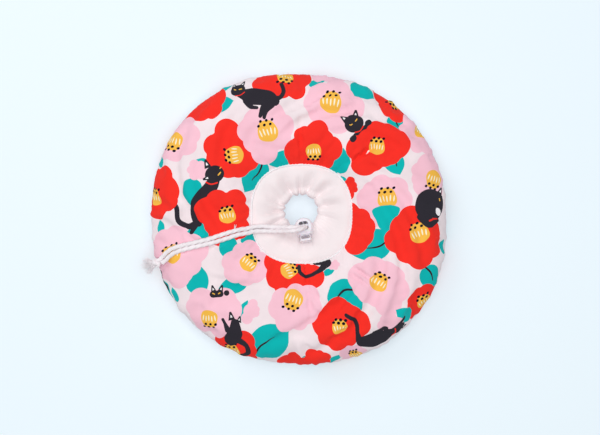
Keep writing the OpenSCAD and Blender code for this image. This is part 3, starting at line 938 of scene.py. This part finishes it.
def printed_cover(name, grid, side, node):
    """The cover's cloth as one mesh, cut along the edges of every printed shape."""
    shapes = drawn if side > 0 else [
        (BORDER_AT + turned((o - BORDER_AT) * (-1, 1), BACK_TURN), ink) for o, ink in drawn]
    # A lattice of even triangles, wide enough for the cloth when it is spread flat.
    gap, reach, row_gap = 2.4, 180, 0.866
    rows = np.arange(-reach, reach, gap * row_gap)
    lattice = np.array([(x + (k % 2) * gap / 2, y) for k, y in enumerate(rows)
                        for x in np.arange(-reach, reach, gap)])
    _, across = unrolled(lattice, CLOTH_SPAN)
    points = [lattice[(across > 0.012) & (across < 0.988)]]
    edges, count = [], len(points[0])
    for loop_points in [flat_point(around, 0.0 * around), flat_point(around, 1 + 0 * around),
                        *[o for o, _ in shapes]]:
        n = len(loop_points)
        edges += [(count + k, count + (k + 1) % n) for k in range(n)]
        points.append(loop_points)
        count += n
    made = delaunay_2d_cdt([Vector(p) for p in np.concatenate(points)], edges, [], 0, 1e-3, False)
    flat = np.array([tuple(v) for v in made[0]])
    faces = np.array(made[2])
    turn, across = unrolled(flat, CLOTH_SPAN)
    middle = flat[faces].mean(1)
    _, middle_across = unrolled(middle, CLOTH_SPAN)
    keep = (middle_across > 1e-4) & (middle_across < 1 - 1e-4)
    faces, middle = faces[keep], middle[keep]
    ink = np.full(len(faces), GROUND)
    for outline, colour in shapes:
        lo, hi = outline.min(0), outline.max(0)
        near = np.flatnonzero(((middle > lo) & (middle < hi)).all(1))
        ink[near[inside(middle[near], outline)]] = colour
    used, faces = np.unique(faces, return_inverse=True)
    faces = faces.reshape(-1, 3) if side > 0 else faces.reshape(-1, 3)[:, ::-1]
    points = sampled(grid, turn[used], across[used])
    shading = sampled(normals_of(grid, side < 0), turn[used], across[used])
    cover = make(name, points, faces, PRINT, slot="printed_cloth", index=ink, replaces=[node],
                 uv=flat[used])
    cover.data.normals_split_custom_set_from_vertices(unit(shading).tolist())


def settled(points):
    """Cloth pressed down where the cords lie on it, which is left of x = -16 mm."""
    path = np.concatenate([upper_path, lower_path])
    path = path[path[:, 0] < -16]
    shape = points.shape
    flat = points.reshape(-1, 3).copy()
    away = np.linalg.norm(flat[:, None, :2] - path[None, ::6, :2], axis=-1).min(1)
    near = np.flatnonzero(away < 8)
    off = np.linalg.norm(flat[near][:, None, :2] - path[None, :, :2], axis=-1)
    room = CORD_D / 2 + 0.25
    limit = path[None, :, 2] - np.sqrt(np.clip(room ** 2 - off ** 2, 0, None)) \
        + 1.2 * np.clip(off - room, 0, None) ** 1.2
    flat[near, 2] = np.minimum(flat[near, 2], limit.min(1))
    return flat.reshape(shape)


front_points = settled(front_points)
printed_cover("cover_front", front_points, 1, "front_cover")
printed_cover("cover_back", back_points, -1, "back_cover")


# ---- gathered neck sleeves ----

# Share of the way from hole to border, and height off the middle in mm.
SLEEVE_PROFILE = smooth_curve([(0, 0.1), (0.02, 2.0), (0.07, 4), (0.13, 4.7), (0.21, 5), (0.3, 6.6),
                               (0.42, 9.4), (0.55, 12), (0.7, 14), (0.85, 14.8), (0.95, 14),
                               (1, 12.8)], 8)
GATHER_ROUND, GATHER_ACROSS = 480, 64
# The buttonhole that both ends of the cord come out of: middle, length and width.
SLIT_AT = np.array([5.3, -12.5])
SLIT = np.array([13.4, 5.4])


def sleeve_points(side):
    """A sleeve as a ring grid, gathered at the hole. Both hems follow the same ridges."""
    a = TURN * np.arange(GATHER_ROUND)[:, None] / GATHER_ROUND
    s = np.linspace(0, 1, GATHER_ACROSS)[None, :] ** 1.3
    seed = 50 if side > 0 else 70
    phase = 6.5 * a + 0.8 * waves(a, 1, 5, 4, 50)
    ridge = 2 * np.abs(np.cos(phase)) ** 0.85 - 1.25
    uneven = 0.75 + 0.3 * waves(a, 3, 9, 5, 51) + 0.4 * np.cos(a - math.radians(125))
    near = step(s, 0, 0.05) * (1 - step(s, 0.12, 0.82))
    wide = step(s, 0.08, 0.3) * (1 - step(s, 0.55, 0.97))
    high = np.interp(s, SLEEVE_PROFILE[:, 0], SLEEVE_PROFILE[:, 1]) \
        + 2.1 * uneven * ridge * near + 1.0 * waves(a + 0.15 * s, 7, 15, 7, seed + 2) * wide \
        + 0.12 * waves(a, 30, 60, 8, seed + 3) * near
    hem = -1.15 * ridge * uneven * (1 - step(s, 0, 0.16))
    twist = a + 0.05 * waves(a, 4, 12, 5, 54) * (1 - s)
    inner = HOLE_AT + (HOLE_R + hem)[..., None] * ray(twist)
    outer = border(a) + 0 * inner
    xy = inner + (outer - inner) * s[..., None]
    high = np.maximum(high, 0.02) * (s > 0)
    return np.concatenate([xy, (MID + side * high)[..., None]], -1)


def in_slit(xy):
    """Which points lie inside the buttonhole's rounded slot."""
    off = np.abs(xy - SLIT_AT)
    ends = np.clip(off[..., 0] - (SLIT[0] - SLIT[1]) / 2, 0, None)
    return np.hypot(ends, off[..., 1]) < SLIT[1] / 2


for side, name in SIDES:
    points = sleeve_points(side)
    if side > 0:
        points = settled(points)
    faces = grid_faces(GATHER_ROUND, GATHER_ACROSS, flip=side > 0)
    points = points.reshape(-1, 3)
    if side > 0:
        faces = faces[~in_slit(points[faces].mean(1)[:, :2])]
    sleeve = make(f"neck_sleeve_{name}_cloth", points, faces, [SLEEVE], slot="white_cloth",
                  replaces=[f"neck_sleeve_{name}"])


# ---- thread: sleeve edges, buttonhole and closing stitches ----

EDGE_WAVES = 97

for side, name in SIDES:
    a = np.linspace(0, TURN, 1320, endpoint=False)
    edge = sampled(front_points if side > 0 else back_points, a, 0 * a)
    edge = edge + (0, 0, side * 0.7)
    edge[:, :2] += 0.12 * np.cos(EDGE_WAVES * a)[:, None] * ray(a)
    thick = 0.72 + 0.22 * np.abs(np.cos(EDGE_WAVES * a))
    make(f"sleeve_edge_{name}", *tube(edge, thick, 8, closed=True),
         [THREAD], slot="thread", replaces=[f"sleeve_seam_{name}"])


def stitches(lines, radius=0.3):
    """Thread laid along each line."""
    return joined([tube(smooth_curve(line, 4), radius, 6) for line in lines])


def slit_point(t):
    """A point round the slit's edge, and which way is outward there."""
    out = ray(TURN * t)
    return SLIT_AT + out * SLIT / 2 * 0.98, out


BUTTONHOLE_STITCHES = 46
sewn = []
for k in range(BUTTONHOLE_STITCHES):
    at, out = slit_point(k / BUTTONHOLE_STITCHES)
    tail, _ = slit_point((k + 0.5) / BUTTONHOLE_STITCHES)
    z = MID + 5.3
    sewn.append([(*(at - 0.2 * out), z - 0.5), (*at, z + 0.35), (*(tail + 0.9 * out), z + 0.3),
                 (*(tail + 1.2 * out), z - 0.2)])
make("buttonhole_stitches", *stitches(sewn, 0.26), [THREAD], slot="thread", replaces=["buttonhole"])

# Ladder stitches across the rim, over the hole where the filling went in.
ladder = []
for degrees in range(82, 99, 2):
    a = np.array([math.radians(degrees)])
    up = sampled(front_points, a, np.array([0.975]))[0]
    down = sampled(back_points, a + 0.008, np.array([0.975]))[0]
    seam = sampled(front_points, a + 0.004, np.array([1.0]))[0]
    out = np.array([0, 0.35, 0])
    ladder.append([up - (0, 0.5, 0), up + out, seam + out, down + out, down - (0, 0.5, 0)])
make("ladder_stitches", *stitches(ladder), [THREAD], slot="thread", replaces=["closing_stitches"])


# ---- filling ----

def filling():
    """Loose fibre that fills the covers, a little lumpy, closed round the sleeve."""
    inset, under_sleeve = 5.5, 6
    lumps = np.random.default_rng(8).normal(0, 0.35, (ROUND, ACROSS, 1))
    loops = []
    for side, grid in zip((1, -1), filled_points):
        n = normals_of(grid, side < 0)
        skin = (grid - n * (inset + np.abs(lumps)))[::4, 1:-2:2]
        skin[..., 2] = np.where(side * (skin[..., 2] - MID) < 0.4, MID + side * 0.4, skin[..., 2])
        a = around[::4, None]
        s = np.array([0.4, 0.6, 0.8, 0.93])[None, :]
        under = np.interp(s, SLEEVE_PROFILE[:, 0], SLEEVE_PROFILE[:, 1]) - under_sleeve
        xy = (HOLE_AT + HOLE_R * ray(a)) * (1 - s[..., None]) + border(a) * s[..., None]
        inner = np.concatenate([xy, (MID + side * under + 0 * a)[..., None]], -1)
        loops.append(np.concatenate([inner, skin], 1))
    ring = np.concatenate([loops[0], loops[1][:, ::-1]], 1)
    return ring.reshape(-1, 3), grid_faces(ring.shape[0], ring.shape[1], True, True)


make("filling", *filling(), [FILLING], slot="fibre", replaces=["stuffing_ring"])


# ---- cord lock ----

def moulded(name, node, body, grain):
    """A plastic piece with softly rounded edges, from the frame's own shape."""
    source = bpy.data.objects.new(name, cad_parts[node].data.copy())
    scene.collection.objects.link(source)
    remesh = source.modifiers.new("even", "REMESH")
    remesh.mode = "VOXEL"
    remesh.voxel_size = grain * MM
    soften = source.modifiers.new("soften", "SMOOTH")
    soften.factor, soften.iterations = 0.5, 6
    bpy.context.view_layer.update()
    ready = source.evaluated_get(bpy.context.evaluated_depsgraph_get())
    source.data = bpy.data.meshes.new_from_object(ready)
    source.modifiers.clear()
    source.data.materials.clear()
    source.data.materials.append(PLASTIC)
    source.data.shade_smooth()
    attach(source, body)
    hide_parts(node)


def coil_spring():
    """A wound wire between the plunger's head and the dome, with flat end turns."""
    low, high, turns, radius, wire = 2.45, 7.1, 3.5, 2.6, 0.22
    side = unit(np.cross(LOCK_WAY, (0, 0, 1)))
    up = np.cross(side, LOCK_WAY)
    t = np.linspace(-1, turns + 1, 240)[:, None]
    rise = np.clip(t, 0, turns) / turns
    lift = 2 * wire * (np.clip(t + 1, 0, 1) - 1 + np.clip(t - turns, 0, 1))
    inset = 2.1 * wire
    y = low + inset + (high - low - 2 * inset) * rise + lift
    a = TURN * t
    path = LOCK_AT + y * LOCK_WAY + radius * (np.cos(a) * side + np.sin(a) * up)
    return make("lock_coil", *tube(path, wire, 10), [STEEL], slot="spring_steel",
                replaces=["lock_spring"])


moulded("lock_shell", "lock_barrel", "collar", 0.24)
moulded("lock_slider", "lock_plunger", "plunger", 0.2)
# The spring's end at the dome stays, and at full press 0.34 of its length is left.
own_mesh(coil_spring())

# Two CAD pieces show as they are.
for node_name in ("rim_seam", "casing_stitches"):
    seam_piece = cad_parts[node_name]
    seam_piece.data.materials.clear()
    seam_piece.data.materials.append(THREAD)
